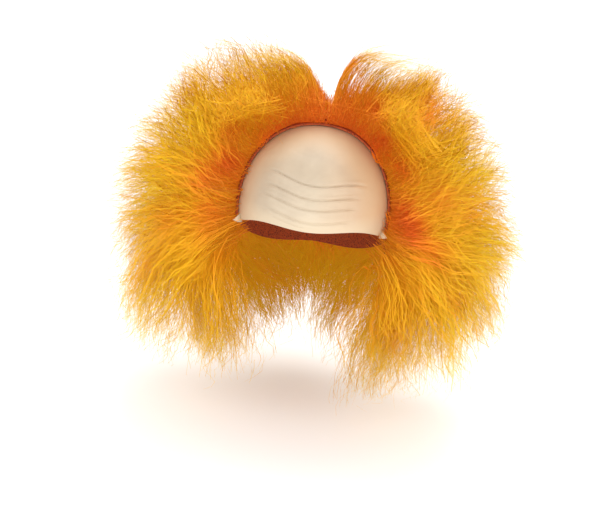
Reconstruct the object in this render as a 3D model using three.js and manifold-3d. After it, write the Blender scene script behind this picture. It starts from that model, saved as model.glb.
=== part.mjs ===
// A bald-front clown wig: a moulded latex forehead, a hollow wig cap and six wefts of big frizzy hair.
// Millimetres, +Z up, the face side towards -Y. The origin is inside the crown, where a head meets it.
import * as THREE from 'three';
import Module from 'manifold-3d';

const wasm = await Module();
wasm.setup();

// Driving sizes
const HEAD_HALF_WIDTH = 82.8;
const HEAD_FRONT = 100.8;
const HEAD_BACK = 98.8;
const HEAD_UP = 97.8;
const HEAD_DOWN = 112;
const HEAD_ROUNDNESS = 2.3;
const HEAD_SET_BACK = 3;
const LATEX_WALL = 1.2;
const WRINKLE_DEPTH = 0.9;
const CAP_WALL = 1.5;
const BACKING_WALL = 2.4;
const GAP = 0.3;
const TUCK_CLEARANCE = 0.9;
const TUCK = 6;
const HAIR_REACH = 220;
const HAIR_DEPTH = 185;
const HAIR_CENTRE_BACK = 15;
const HAIR_CENTRE_DOWN = 70;
const LOCK_HALF_WIDTH = 40;
const LOCK_SLIMNESS = 0.269;
const LOCK_STAGGER = 9;
const ROOT_DEPTH = 11.3;
const FACE_CLEARANCE = 1.5;
const TAB_LENGTH = 12;
const TAB_FORWARD = 3;
const TAB_RISE = 3;
const TAB_HEIGHT = 9;
const TAB_WALL = 0.9;
const TAB_START = 0.95;
const TAB_END = 0.985;
const TAB_CLEARANCE = 1;

const HEAD_CENTRE = new THREE.Vector3(0, HEAD_SET_BACK, -HEAD_UP);
const HAIR_CENTRE = new THREE.Vector3(0, HAIR_CENTRE_BACK, -HAIR_CENTRE_DOWN);

// The rim tables hold shares of the head's half-width, front and height, measured from its centre.
// Half of the hairline, from the middle of the crown down to the temple
const HAIRLINE = [
  { side: 0, depth: -0.03, height: 1.01 },
  { side: 0.326, depth: -0.079, height: 0.98 },
  { side: 0.519, depth: -0.149, height: 0.908 },
  { side: 0.688, depth: -0.228, height: 0.806 },
  { side: 0.809, depth: -0.308, height: 0.673 },
  { side: 0.882, depth: -0.387, height: 0.489 },
  { side: 0.87, depth: -0.456, height: 0.264 },
  { side: 0.821, depth: -0.516, height: 0.049 },
];

// Half of the cap's lower rim, from the temple past the ear to the nape
const LOWER_RIM = [
  { side: 0.894, depth: -0.486, height: -0.104 },
  { side: 0.93, depth: -0.387, height: -0.247 },
  { side: 0.966, depth: -0.228, height: -0.247 },
  { side: 0.99, depth: -0.03, height: -0.125 },
  { side: 0.966, depth: 0.208, height: -0.186 },
  { side: 0.845, depth: 0.516, height: -0.431 },
  { side: 0.543, depth: 0.764, height: -0.595 },
  { side: 0, depth: 0.923, height: -0.636 },
];

// Half of the forehead's lower edge, from the middle to the temple
const BROW_EDGE = [
  { side: 0, depth: -1.002, height: 0.182 },
  { side: 0.338, depth: -0.933, height: 0.192 },
  { side: 0.604, depth: -0.764, height: 0.141 },
  { side: 0.821, depth: -0.516, height: 0.049 },
];

// Rows of the forehead from brow to crown: how far up the hairline they end, how far up the middle they
// pass, how deep they are pushed in, and how much they follow the wrinkles' wave
const FOREHEAD_ROWS = [
  { side: 0, middle: 0, sink: 0, wave: 0 },
  { side: 0.115, middle: 0.056, sink: -0.5, wave: 0.8 },
  { side: 0.144, middle: 0.078, sink: 0.5, wave: 0.8 },
  { side: 0.173, middle: 0.1, sink: -0.5, wave: 0.8 },
  { side: 0.22, middle: 0.144, sink: -0.6, wave: 0.85 },
  { side: 0.238, middle: 0.166, sink: 0.6, wave: 0.85 },
  { side: 0.257, middle: 0.188, sink: -0.6, wave: 0.85 },
  { side: 0.283, middle: 0.22, sink: -0.7, wave: 1 },
  { side: 0.302, middle: 0.242, sink: 0.8, wave: 1 },
  { side: 0.324, middle: 0.264, sink: -0.7, wave: 1 },
  { side: 0.374, middle: 0.314, sink: -0.8, wave: 1.1 },
  { side: 0.396, middle: 0.336, sink: 0.8, wave: 1.1 },
  { side: 0.418, middle: 0.358, sink: -0.6, wave: 1.1 },
  { side: 0.51, middle: 0.45, sink: 0, wave: 0.6 },
  { side: 0.62, middle: 0.57, sink: 0, wave: 0.2 },
  { side: 0.735, middle: 0.7, sink: 0, wave: 0 },
  { side: 0.85, middle: 0.83, sink: 0, wave: 0 },
  { side: 0.97, middle: 0.97, sink: 0, wave: 0 },
];
const FOREHEAD_COLUMNS = 20;
const WRINKLE_FADE = 0.8;
// The wrinkles rise and fall across the forehead, in shares of its middle line
const WRINKLE_WAVE = [
  { across: 0, rise: 0.01 },
  { across: 0.22, rise: 0.012 },
  { across: 0.42, rise: -0.016 },
  { across: 0.55, rise: -0.02 },
  { across: 0.75, rise: -0.016 },
  { across: 1, rise: -0.045 },
];
// The rows leave the brow's own curve by this share of the hairline, and hold to it up to near their ends
const BROW_FADE = 0.45;
const BROW_HOLD = 8;

// How far the hair reaches from its centre at each clock angle seen from the front, in shares of its reach
const REACH = [
  { clock: 0, left: 0.418, right: 0.436 },
  { clock: 7, left: 0.509, right: 0.618 },
  { clock: 12, left: 0.618, right: 0.727 },
  { clock: 20, left: 0.718, right: 0.827 },
  { clock: 30, left: 0.764, right: 0.845 },
  { clock: 40, left: 0.818, right: 0.864 },
  { clock: 50, left: 0.864, right: 0.891 },
  { clock: 60, left: 0.845, right: 0.9 },
  { clock: 70, left: 0.891, right: 0.882 },
  { clock: 80, left: 0.936, right: 0.927 },
  { clock: 90, left: 0.982, right: 0.982 },
  { clock: 100, left: 0.964, right: 1.009 },
  { clock: 110, left: 1.045, right: 1.045 },
  { clock: 120, left: 1.082, right: 1.145 },
  { clock: 130, left: 1.164, right: 1.2 },
  { clock: 140, left: 1.191, right: 1.127 },
  { clock: 150, left: 1.145, right: 1.136 },
  { clock: 160, left: 1.055, right: 1.155 },
  { clock: 180, left: 0.932, right: 1.023 },
];

// Layers of locks from the face to the back: depth of the tips, reach and width are shares of the hair's
const LAYERS = [
  { depth: -0.022, reach: 1, first: 2, last: 8, locks: 2, wide: 0.375, rootTurn: 6 },
  { depth: -0.27, reach: 0.82, first: 36, last: 152, locks: 6, wide: 0.825, rootTurn: 6 },
  { depth: -0.022, reach: 0.98, first: 14, last: 160, locks: 8, wide: 0.85, rootTurn: 22 },
  { depth: 0.281, reach: 1, first: 12, last: 156, locks: 7, wide: 0.95, rootTurn: 44 },
  { depth: 0.627, reach: 0.9, first: 10, last: 168, locks: 6, wide: 1.025, rootTurn: 64 },
  { depth: 0.951, reach: 0.6, first: 14, last: 172, locks: 4, wide: 1.1, rootTurn: 84 },
  { depth: 0.72, reach: 0.78, first: 140, last: 174, locks: 2, wide: 0.95, rootTurn: 124 },
];

// How a lock leaves the head and falls: handles in shares of its span, angles in degrees
const FLOW = {
  lift: 0.36,
  hang: 0.36,
  droopFrom: 55,
  droopOver: 110,
  droopMost: 0.9,
  rootBend: 78,
  rootSpread: 0.26,
  templeTurn: 40,
  shorter: 0.94,
  tilt: new THREE.Vector3(0, -0.4, 0.3),
};

// Sections of a lock from root to tip, as shares of its length and half-width
const LOCK_SECTIONS = [
  { along: 0, wide: 0.62, thick: 0.55 },
  { along: 0.36, wide: 1, thick: 0.85 },
  { along: 0.68, wide: 1, thick: 0.8 },
  { along: 0.9, wide: 0.62, thick: 0.48 },
];
const LOCK_SIDES = 5;

// Angles of the planes that part the wefts, all through one point on the head's axis
const SECTOR = { partingLean: 6, topSide: 56, sideBack: 36, topBack: 48, rise: 4 };

function mirrored(rows) {
  return rows.map((row) => ({ ...row, side: -row.side }));
}

function asVector(row) {
  const ray = new THREE.Vector3(row.side * HEAD_HALF_WIDTH, row.depth * HEAD_FRONT, row.height * HEAD_UP);
  return ray.add(HEAD_CENTRE);
}

// A point on the head's form in the direction of the given point, pushed out by the offset
function onHead(point, offset) {
  const ray = point.clone().sub(HEAD_CENTRE);
  const across = HEAD_HALF_WIDTH + offset;
  const along = (ray.y < 0 ? HEAD_FRONT : HEAD_BACK) + offset;
  const up = (ray.z < 0 ? HEAD_DOWN : HEAD_UP) + offset;
  const sum = Math.abs(ray.x / across) ** HEAD_ROUNDNESS
    + Math.abs(ray.y / along) ** HEAD_ROUNDNESS
    + Math.abs(ray.z / up) ** HEAD_ROUNDNESS;
  return ray.multiplyScalar(sum ** (-1 / HEAD_ROUNDNESS)).add(HEAD_CENTRE);
}

// A direction part of the way round from one point to another, as seen from the head's centre
function between(from, to, share) {
  const start = from.clone().sub(HEAD_CENTRE).normalize();
  const end = to.clone().sub(HEAD_CENTRE).normalize();
  const angle = start.angleTo(end);
  const early = Math.sin((1 - share) * angle) / Math.sin(angle);
  const late = Math.sin(share * angle) / Math.sin(angle);
  return start.multiplyScalar(early).addScaledVector(end, late).multiplyScalar(HEAD_UP).add(HEAD_CENTRE);
}

// Corners closer than this count as one, and touching ones are drawn this far apart
const SLIVER = 0.001;
const APART = 0.01;

// A closed solid from points and triangles, turned so that its faces point out
function solidOf(points, triangles) {
  const keys = new Map();
  const unique = [];
  const index = points.map((point) => {
    const key = point.toArray().map((value) => Math.round(value / SLIVER)).join();
    if (!keys.has(key)) {
      keys.set(key, unique.length);
      unique.push(point);
    }
    return keys.get(key);
  });
  let faces = triangles.map((face) => face.map((corner) => index[corner]));
  faces = faces.filter(([a, b, c]) => a !== b && b !== c && c !== a);
  let volume = 0;
  for (const [a, b, c] of faces) {
    volume += unique[a].dot(unique[b].clone().cross(unique[c]));
  }
  if (volume < 0) {
    faces = faces.map(([a, b, c]) => [a, c, b]);
  }
  return new wasm.Manifold(new wasm.Mesh({
    numProp: 3,
    vertProperties: new Float32Array(unique.flatMap((point) => point.toArray())),
    triVerts: new Uint32Array(faces.flat()),
  }));
}

function quad(a, b, c, d) {
  return [[a, b, c], [a, c, d]];
}

// A wall between an outer and an inner sheet over the same columns and rows
function wallOf(outer, inner, columns, rows, closed) {
  const points = [];
  for (const sheet of [outer, inner]) {
    for (let row = 0; row <= rows; row += 1) {
      for (let column = 0; column <= columns; column += 1) {
        const wrapped = closed ? column % columns : column;
        points.push(sheet(wrapped / columns, row));
      }
    }
  }
  const at = (side, row, column) => (side * (rows + 1) + row) * (columns + 1) + column;
  const triangles = [];
  for (let row = 0; row < rows; row += 1) {
    for (let column = 0; column < columns; column += 1) {
      const corners = [[row, column], [row, column + 1], [row + 1, column + 1], [row + 1, column]];
      triangles.push(...quad(...corners.map(([r, c]) => at(0, r, c))));
      triangles.push(...quad(...corners.reverse().map(([r, c]) => at(1, r, c))));
    }
  }
  for (let column = 0; column < columns; column += 1) {
    triangles.push(...quad(at(0, 0, column + 1), at(0, 0, column), at(1, 0, column), at(1, 0, column + 1)));
    triangles.push(...quad(at(0, rows, column), at(0, rows, column + 1),
      at(1, rows, column + 1), at(1, rows, column)));
  }
  for (let row = 0; row < rows && !closed; row += 1) {
    triangles.push(...quad(at(0, row, 0), at(0, row + 1, 0), at(1, row + 1, 0), at(1, row, 0)));
    triangles.push(...quad(at(0, row + 1, columns), at(0, row, columns),
      at(1, row, columns), at(1, row + 1, columns)));
  }
  return solidOf(points, triangles);
}

// The forehead's lower edge from one temple to the other, and its upper edge tucked under the cap
const browCurve = new THREE.CatmullRomCurve3([
  ...mirrored(BROW_EDGE).reverse().map(asVector),
  ...BROW_EDGE.slice(1).map(asVector),
]);
const CROWN_BACK = onHead(asVector({ side: 0, depth: 0.566, height: 0.591 }), 0);
const hairlineCurve = new THREE.CatmullRomCurve3([
  ...mirrored(HAIRLINE).reverse().map(asVector),
  ...HAIRLINE.slice(1).map(asVector),
]);

function tucked(share) {
  const point = hairlineCurve.getPointAt(share);
  const towards = CROWN_BACK.clone().sub(point);
  return point.addScaledVector(towards.normalize(), TUCK);
}

function headRay(point) {
  return point.clone().sub(HEAD_CENTRE).normalize();
}

// The value of a table's column at a place between its rows
function lookUp(table, key, place, column) {
  const above = Math.max(table.findIndex((row) => row[key] >= place), 1);
  const high = table[above];
  const low = table[above - 1];
  return THREE.MathUtils.mapLinear(place, low[key], high[key], low[column], high[column]);
}

// The direction at a share of the way along a row that bows through the forehead's middle line
function rowRay(side, middle, share) {
  const left = headRay(tucked(side / 2));
  const right = headRay(tucked(1 - side / 2));
  const centre = headRay(between(browCurve.getPointAt(0.5), tucked(0.5), middle));
  const control = centre.multiplyScalar(2).addScaledVector(left, -0.5).addScaledVector(right, -0.5);
  return left.multiplyScalar((1 - share) ** 2)
    .addScaledVector(control, 2 * share * (1 - share))
    .addScaledVector(right, share ** 2)
    .normalize();
}

function foreheadSheet(offset) {
  return (share, row) => {
    const { side, middle, sink, wave } = FOREHEAD_ROWS[row];
    const fade = Math.sin(Math.PI * share) ** WRINKLE_FADE;
    const ripple = wave * fade * lookUp(WRINKLE_WAVE, 'across', share, 'rise');
    const ends = 1 - (2 * share - 1) ** BROW_HOLD;
    const nearBrow = ends * Math.max(1 - side / BROW_FADE, 0) ** 2;
    const ray = rowRay(side, middle + ripple, share)
      .addScaledVector(headRay(browCurve.getPointAt(share)), nearBrow)
      .addScaledVector(rowRay(0, 0, share), -nearBrow);
    const spot = ray.multiplyScalar(HEAD_UP).add(HEAD_CENTRE);
    return onHead(spot, offset - sink * WRINKLE_DEPTH * fade);
  };
}

// A pointed tab that leaves the temple corner outwards, in front of the cap's edge
function templeTab(sign, grow) {
  const middle = LATEX_WALL / 2;
  const inner = onHead(browCurve.getPointAt(TAB_START), middle);
  const corner = onHead(browCurve.getPointAt(TAB_END), middle);
  const upper = onHead(corner.clone().add(new THREE.Vector3(0, 0, TAB_HEIGHT)), middle);
  const tip = corner.clone().add(new THREE.Vector3(TAB_LENGTH + grow, -TAB_FORWARD, TAB_RISE));
  const normal = corner.clone().sub(HEAD_CENTRE).setZ(0).normalize().multiplyScalar(TAB_WALL / 2 + grow);
  const outline = [inner, corner.setZ(corner.z - grow), tip, upper.setZ(upper.z + grow)];
  const points = [
    ...outline.map((point) => point.clone().add(normal)),
    ...outline.map((point) => point.clone().sub(normal)),
  ];
  points.forEach((point) => point.setX(point.x * sign));
  const triangles = [[0, 1, 3], [1, 2, 3], [4, 7, 5], [5, 7, 6]];
  outline.forEach((_, i) => {
    const next = (i + 1) % outline.length;
    triangles.push([i, i + 4, next], [next, i + 4, next + 4]);
  });
  return solidOf(points, triangles);
}

function forehead() {
  const rows = FOREHEAD_ROWS.length - 1;
  const wall = wallOf(foreheadSheet(LATEX_WALL), foreheadSheet(0), FOREHEAD_COLUMNS, rows, false);
  return wall.add(templeTab(1, 0)).add(templeTab(-1, 0));
}

// The cap's rim, all the way round, starting at the middle of the hairline
const rimCurve = new THREE.CatmullRomCurve3([
  ...HAIRLINE.map(asVector),
  ...LOWER_RIM.map(asVector),
  ...mirrored(LOWER_RIM).reverse().slice(1).map(asVector),
  ...mirrored(HAIRLINE).reverse().slice(0, -1).map(asVector),
], true);
const CAP_COLUMNS = 40;
const CAP_ROWS = [0, 0.4, 0.7, 0.88, 0.97, 1];

function capSheet(offset) {
  return (share, row) => {
    const rim = rimCurve.getPoint(share);
    const spot = CAP_ROWS[row] === 0 ? CROWN_BACK : between(CROWN_BACK, rim, CAP_ROWS[row]);
    return onHead(spot, offset);
  };
}

const CAP_INSIDE = LATEX_WALL + TUCK_CLEARANCE;
const CAP_OUTSIDE = CAP_INSIDE + CAP_WALL;

function cap() {
  return wallOf(capSheet(CAP_OUTSIDE), capSheet(CAP_INSIDE), CAP_COLUMNS, CAP_ROWS.length - 1, true);
}

// The whole head form just outside the cap, closed below, which nothing of the hair enters
const HEAD_FORM_ROWS = [...CAP_ROWS, 1.06, 1.14, 1.25, 1.4, 1.6, 1.8, 2];
const CHIN_WARDS = new THREE.Vector3().copy(HEAD_CENTRE).multiplyScalar(2).sub(CROWN_BACK);

function headForm() {
  const sheet = (share, row) => {
    const along = HEAD_FORM_ROWS[row];
    const rim = rimCurve.getPoint(share);
    let spot = CROWN_BACK;
    if (along > 0 && along <= 1) {
      spot = between(CROWN_BACK, rim, along);
    } else if (along === 2) {
      spot = CHIN_WARDS;
    } else if (along > 1) {
      spot = between(rim, CHIN_WARDS, along - 1);
    }
    return onHead(spot, CAP_OUTSIDE + GAP + (along > 1 ? FACE_CLEARANCE : 0));
  };
  return shellOf(sheet, CAP_COLUMNS, HEAD_FORM_ROWS.length - 1);
}

// A closed form from one sheet whose first and last rows are single points
function shellOf(sheet, columns, rows) {
  const points = [];
  const triangles = [];
  for (let row = 0; row <= rows; row += 1) {
    for (let column = 0; column < columns; column += 1) {
      points.push(sheet(column / columns, row));
    }
  }
  for (let row = 0; row < rows; row += 1) {
    for (let column = 0; column < columns; column += 1) {
      const next = (column + 1) % columns;
      const here = row * columns;
      triangles.push(...quad(here + column, here + next, here + columns + next, here + columns + column));
    }
  }
  return solidOf(points, triangles);
}

function backing() {
  const outside = CAP_OUTSIDE + GAP + BACKING_WALL;
  return wallOf(capSheet(outside), capSheet(CAP_INSIDE), CAP_COLUMNS, CAP_ROWS.length - 2, true);
}

// A tapered lock along a curve, its sections flattened against the head
function lock(curve, halfWidth, outward) {
  const points = [];
  for (const section of LOCK_SECTIONS) {
    const centre = curve.getPoint(section.along);
    const ahead = curve.getTangent(section.along);
    const across = outward.clone().cross(ahead).normalize();
    const over = ahead.clone().cross(across).normalize();
    for (let side = 0; side < LOCK_SIDES; side += 1) {
      const turn = (2 * Math.PI * (side + 0.25)) / LOCK_SIDES;
      points.push(centre.clone()
        .addScaledVector(across, Math.cos(turn) * section.wide * halfWidth)
        .addScaledVector(over, Math.sin(turn) * section.thick * halfWidth));
    }
  }
  const root = points.length;
  points.push(curve.getPoint(0), curve.getPoint(1));
  const triangles = [];
  const last = (LOCK_SECTIONS.length - 1) * LOCK_SIDES;
  for (let side = 0; side < LOCK_SIDES; side += 1) {
    const next = (side + 1) % LOCK_SIDES;
    triangles.push([root, next, side], [root + 1, last + side, last + next]);
    for (let ring = 0; ring < last; ring += LOCK_SIDES) {
      triangles.push(...quad(ring + side, ring + next, ring + LOCK_SIDES + next, ring + LOCK_SIDES + side));
    }
  }
  return solidOf(points, triangles);
}

// One lock of a layer, from its root on the cap to its tip in the outline
function lockOf(layer, number, sign) {
  const step = layer.locks > 1 ? number / (layer.locks - 1) : 0;
  const clock = THREE.MathUtils.lerp(layer.first, layer.last, step);
  const odd = number % 2;
  const uneven = odd ? FLOW.shorter : 1;
  const outline = lookUp(REACH, 'clock', clock, sign < 0 ? 'left' : 'right');
  const reach = outline * HAIR_REACH * layer.reach * uneven;
  const angle = THREE.MathUtils.degToRad(clock);
  const radial = new THREE.Vector3(sign * Math.sin(angle), 0, Math.cos(angle));
  const depth = layer.depth * HAIR_DEPTH + (odd ? LOCK_STAGGER : -LOCK_STAGGER);
  const tip = HAIR_CENTRE.clone().addScaledVector(radial, reach).setY(depth);
  const rootClock = THREE.MathUtils.degToRad(
    Math.min(clock, FLOW.rootBend + (clock - FLOW.rootBend) * FLOW.rootSpread));
  const turn = THREE.MathUtils.degToRad(layer.rootTurn - FLOW.templeTurn * Math.sin(rootClock) ** 2);
  const rootRay = new THREE.Vector3(
    sign * Math.sin(rootClock) * Math.cos(turn), Math.sin(turn), Math.cos(rootClock) * Math.cos(turn));
  const root = onHead(HEAD_CENTRE.clone().addScaledVector(rootRay, HEAD_UP), -ROOT_DEPTH);
  const span = root.distanceTo(tip);
  const droop = THREE.MathUtils.clamp((clock - FLOW.droopFrom) / FLOW.droopOver, 0, FLOW.droopMost);
  const ending = radial.clone().multiplyScalar(1 - droop).add(new THREE.Vector3(0, 0, -droop)).normalize();
  const lift = root.clone().addScaledVector(rootRay, span * FLOW.lift);
  const hang = tip.clone().addScaledVector(ending, -span * FLOW.hang);
  const curve = new THREE.CubicBezierCurve3(root, lift, hang, tip);
  const halfWidth = Math.min(layer.wide * LOCK_HALF_WIDTH, span * LOCK_SLIMNESS);
  return lock(curve, halfWidth, rootRay.clone().add(FLOW.tilt).normalize());
}

// Half of space on one side of a plane through the sector's centre, half a gap away from it
const FAR = 900;
function halfSpace(normal) {
  const facing = normal.clone().normalize();
  const box = new THREE.BoxGeometry(FAR, FAR, FAR);
  box.applyQuaternion(new THREE.Quaternion().setFromUnitVectors(new THREE.Vector3(0, 0, 1), facing));
  const meeting = HAIR_CENTRE.clone().setZ(HAIR_CENTRE.z + SECTOR.rise);
  const middle = meeting.addScaledVector(facing, (FAR + GAP) / 2);
  box.translate(middle.x, middle.y, middle.z);
  const position = box.getAttribute('position');
  const points = [];
  for (let i = 0; i < position.count; i += 1) {
    points.push(new THREE.Vector3().fromBufferAttribute(position, i));
  }
  const triangles = [];
  for (let i = 0; i < box.index.count; i += 3) {
    triangles.push([box.index.getX(i), box.index.getX(i + 1), box.index.getX(i + 2)]);
  }
  return solidOf(points, triangles);
}

function planesOf(sign) {
  const tan = (degrees) => Math.tan(THREE.MathUtils.degToRad(degrees));
  return {
    half: new THREE.Vector3(sign, 0, -sign * tan(SECTOR.partingLean)),
    top: new THREE.Vector3(-sign / tan(SECTOR.topSide), 0, 1),
    back: new THREE.Vector3(-sign * tan(SECTOR.sideBack), 1, 0),
    behindTop: new THREE.Vector3(0, 1, -tan(SECTOR.topBack)),
  };
}

function inside(normals) {
  return normals.map(halfSpace).reduce((solid, next) => solid.intersect(next));
}

const keepOut = headForm().add(templeTab(1, TAB_CLEARANCE)).add(templeTab(-1, TAB_CLEARANCE));

// All the hair of one side, fused to the backing
function hairOfSide(sign) {
  let solid = backing();
  for (const layer of LAYERS) {
    for (let number = 0; number < layer.locks; number += 1) {
      solid = solid.add(lockOf(layer, number, sign));
    }
  }
  return solid.subtract(keepOut);
}

const hairOf = new Map([[-1, hairOfSide(-1)], [1, hairOfSide(1)]]);

function weft(sign, normals) {
  return hairOf.get(sign).intersect(inside(normals));
}

function hairTop(sign) {
  const { half, top, behindTop } = planesOf(sign);
  return weft(sign, [half, top, behindTop.negate()]);
}

function hairSide(sign) {
  const { half, top, back } = planesOf(sign);
  return weft(sign, [half, top.negate(), back.negate()]);
}

function hairBack(sign) {
  const { half, back, behindTop } = planesOf(sign);
  return weft(sign, [half, back, behindTop]);
}

const latex = () => new THREE.MeshStandardMaterial({ color: 0xe8d5b9, roughness: 0.55, metalness: 0 });
const netting = () => new THREE.MeshStandardMaterial({ color: 0xa8401c, roughness: 0.85, metalness: 0 });
const hair = () => new THREE.MeshStandardMaterial({ color: 0xe4961b, roughness: 0.6, metalness: 0 });

// The triangles of the largest connected surface: loose bits and sealed hollows are left out
function outerShell(points, faces) {
  const owner = points.map((_, i) => i);
  const rootOf = (i) => {
    while (owner[i] !== i) {
      i = owner[i];
    }
    return i;
  };
  for (const [a, b, c] of faces) {
    owner[rootOf(b)] = rootOf(a);
    owner[rootOf(c)] = rootOf(a);
  }
  const shells = new Map();
  for (const face of faces) {
    const shell = rootOf(face[0]);
    shells.set(shell, [...(shells.get(shell) ?? []), face]);
  }
  const volumeOf = (shell) => shell.reduce((sum, [a, b, c]) => (
    sum + points[a].dot(points[b].clone().cross(points[c]))), 0);
  return [...shells.values()].reduce((best, next) => (volumeOf(next) > volumeOf(best) ? next : best));
}

// Corners that touch each other are drawn apart, each a little towards its own neighbours
function drawnApart(points, faces) {
  const sums = new Map();
  for (const face of faces) {
    for (const corner of face) {
      const entry = sums.get(corner) ?? { sum: new THREE.Vector3(), count: 0 };
      face.forEach((other) => entry.sum.add(points[other]));
      entry.count += face.length;
      sums.set(corner, entry);
    }
  }
  const places = new Map();
  for (const corner of sums.keys()) {
    const place = points[corner].toArray().map((value) => Math.round(value / SLIVER)).join();
    places.set(place, [...(places.get(place) ?? []), corner]);
  }
  for (const corners of places.values()) {
    for (const corner of corners.length > 1 ? corners : []) {
      const { sum, count } = sums.get(corner);
      const aside = sum.divideScalar(count).sub(points[corner]).setLength(APART);
      points[corner] = points[corner].clone().add(aside);
    }
  }
}

// The outer surface of a solid with no slivers and no corners that touch
function withoutSlivers({ vertProperties, triVerts }) {
  const points = [];
  for (let i = 0; i < vertProperties.length; i += 3) {
    points.push(new THREE.Vector3().fromArray(vertProperties, i));
  }
  const faces = [];
  for (let i = 0; i < triVerts.length; i += 3) {
    faces.push([triVerts[i], triVerts[i + 1], triVerts[i + 2]]);
  }
  const outer = outerShell(points, faces);
  drawnApart(points, outer);
  return solidOf(points, outer).getMesh();
}

function meshOf(name, solid, material) {
  const { vertProperties, triVerts } = withoutSlivers(solid.getMesh());
  const geometry = new THREE.BufferGeometry();
  geometry.setAttribute('position', new THREE.BufferAttribute(new Float32Array(vertProperties), 3));
  geometry.setIndex(new THREE.BufferAttribute(new Uint32Array(triVerts), 1));
  geometry.computeVertexNormals();
  const mesh = new THREE.Mesh(geometry, material);
  mesh.name = name;
  return mesh;
}

const wig = new THREE.Group();
wig.add(meshOf('forehead', forehead(), latex()));
wig.add(meshOf('cap', cap(), netting()));
wig.add(meshOf('hair_top_left', hairTop(-1), hair()));
wig.add(meshOf('hair_top_right', hairTop(1), hair()));
wig.add(meshOf('hair_side_left', hairSide(-1), hair()));
wig.add(meshOf('hair_side_right', hairSide(1), hair()));
wig.add(meshOf('hair_back_left', hairBack(-1), hair()));
wig.add(meshOf('hair_back_right', hairBack(1), hair()));

export default wig;
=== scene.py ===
import math

import bpy
import numpy as np
from mathutils import Matrix, Vector


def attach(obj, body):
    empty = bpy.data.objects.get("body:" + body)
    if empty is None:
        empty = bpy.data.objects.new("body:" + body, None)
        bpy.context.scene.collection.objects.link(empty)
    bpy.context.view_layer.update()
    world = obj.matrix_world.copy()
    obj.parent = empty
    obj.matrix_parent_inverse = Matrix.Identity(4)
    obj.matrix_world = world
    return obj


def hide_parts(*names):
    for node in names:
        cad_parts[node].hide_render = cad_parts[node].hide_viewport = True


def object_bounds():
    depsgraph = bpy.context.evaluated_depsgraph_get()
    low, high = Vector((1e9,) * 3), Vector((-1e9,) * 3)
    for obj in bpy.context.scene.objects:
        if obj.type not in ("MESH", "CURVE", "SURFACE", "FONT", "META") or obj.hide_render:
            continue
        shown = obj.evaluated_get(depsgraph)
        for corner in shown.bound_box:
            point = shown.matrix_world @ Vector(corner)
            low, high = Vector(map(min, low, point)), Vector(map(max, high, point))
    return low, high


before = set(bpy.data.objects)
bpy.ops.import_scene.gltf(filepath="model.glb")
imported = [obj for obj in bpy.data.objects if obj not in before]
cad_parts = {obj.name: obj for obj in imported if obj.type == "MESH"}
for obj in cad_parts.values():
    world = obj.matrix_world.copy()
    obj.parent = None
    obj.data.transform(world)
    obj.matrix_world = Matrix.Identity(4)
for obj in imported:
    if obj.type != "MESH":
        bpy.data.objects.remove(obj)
cad_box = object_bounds()

# Sizes are in millimetres until a mesh is made; the face side is towards -Y.
MM = 0.001
HEAD_CENTRE = np.array([0.0, 3.0, -97.8])
HEAD_HALF_WIDTH = 82.8
HEAD_FRONT = 100.8
HEAD_BACK = 98.8
HEAD_UP = 97.8
HEAD_DOWN = 112.0
HEAD_ROUNDNESS = 2.3
LATEX_WALL = 1.2
CAP_WALL = 1.5
CAP_OUTSIDE = 3.6
HAIR_CENTRE = np.array([0.0, 15.0, -70.0])

# How far the hair reaches from its centre at each clock angle seen from the front: clock, left, right
REACH = np.array([
    (0, 92, 96), (7, 112, 134), (12, 134, 152), (20, 149, 168), (30, 158, 176), (40, 175, 182),
    (50, 195, 188), (60, 192, 192), (70, 198, 192), (80, 208, 206), (90, 219, 220), (100, 218, 229),
    (110, 231, 233), (120, 238, 256), (130, 251, 266), (140, 254, 248), (150, 248, 250), (160, 232, 254),
    (180, 205, 225),
], float)

# Layers of locks from the face to the back: depth, reach as a share of the outline, clock angles of the
# first and last lock, locks, half-width of a lock, how far back its root turns, and tufts in a lock
LAYER_COLUMNS = ("depth", "reach", "first", "last", "locks", "wide", "turn", "tufts")
LAYERS = [dict(zip(LAYER_COLUMNS, row)) for row in (
    (-4, 1.0, 2, 8, 2, 15, 6, 10),
    (-50, 0.82, 36, 152, 6, 33, 6, 26),
    (-4, 0.98, 14, 160, 8, 34, 22, 26),
    (52, 1.0, 12, 156, 7, 38, 44, 24),
    (116, 0.9, 10, 168, 6, 41, 64, 24),
    (176, 0.6, 14, 172, 4, 44, 84, 30),
    (133, 0.78, 140, 174, 2, 38, 124, 42),
    (90, 0.88, 112, 166, 3, 36, 58, 20),
)]

# The hairline from the middle of the crown to the temple
HAIRLINE_POINTS = np.array([(0, 0, 1), (27, -5, -2), (43, -12, -9), (57, -20, -19), (67, -28, -32),
                            (73, -36, -50), (72, -43, -72), (68, -49, -93)], float)
# How far forward the hair may lie at each height: height, depth
BELOW_TEMPLE = [(-210, -75), (-160, -60), (-135, -48), (-122, -42), (-108, -46)]
FRONT_LINE = np.concatenate([BELOW_TEMPLE, HAIRLINE_POINTS[::-1, [2, 1]], [(90, 6)]])
HAIRLINE_GAP = 1.5
COME_FORWARD = 1.15

# How a lock leaves the head and falls: lengths as shares of its span, angles in degrees
ROOT_RISE = 3.0
ROOT_BEND = 78
ROOT_SPREAD = 0.26
TEMPLE_TURN = 40
HANDLE = 0.36
DROOP_FROM = 55
DROOP_OVER = 110
DROOP_MOST = 0.9
LOCK_TILT = np.array([0, -0.4, 0.3])
UP = np.array([0, 0, 1.0])

# Sections of a lock from root to tip
LOCK_ALONG = [0, 0.36, 0.68, 0.9, 1, 1.2]
LOCK_WIDE = [0.62, 1, 1, 0.72, 0.5, 0.4]
LOCK_THICK = [0.55, 0.85, 0.82, 0.6, 0.42, 0.35]
LOCK_SLIMNESS = 0.27
LOCK_STAGGER = 9
SHORTER_LOCK = 0.95
BENT_LENGTH = 1.1

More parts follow.
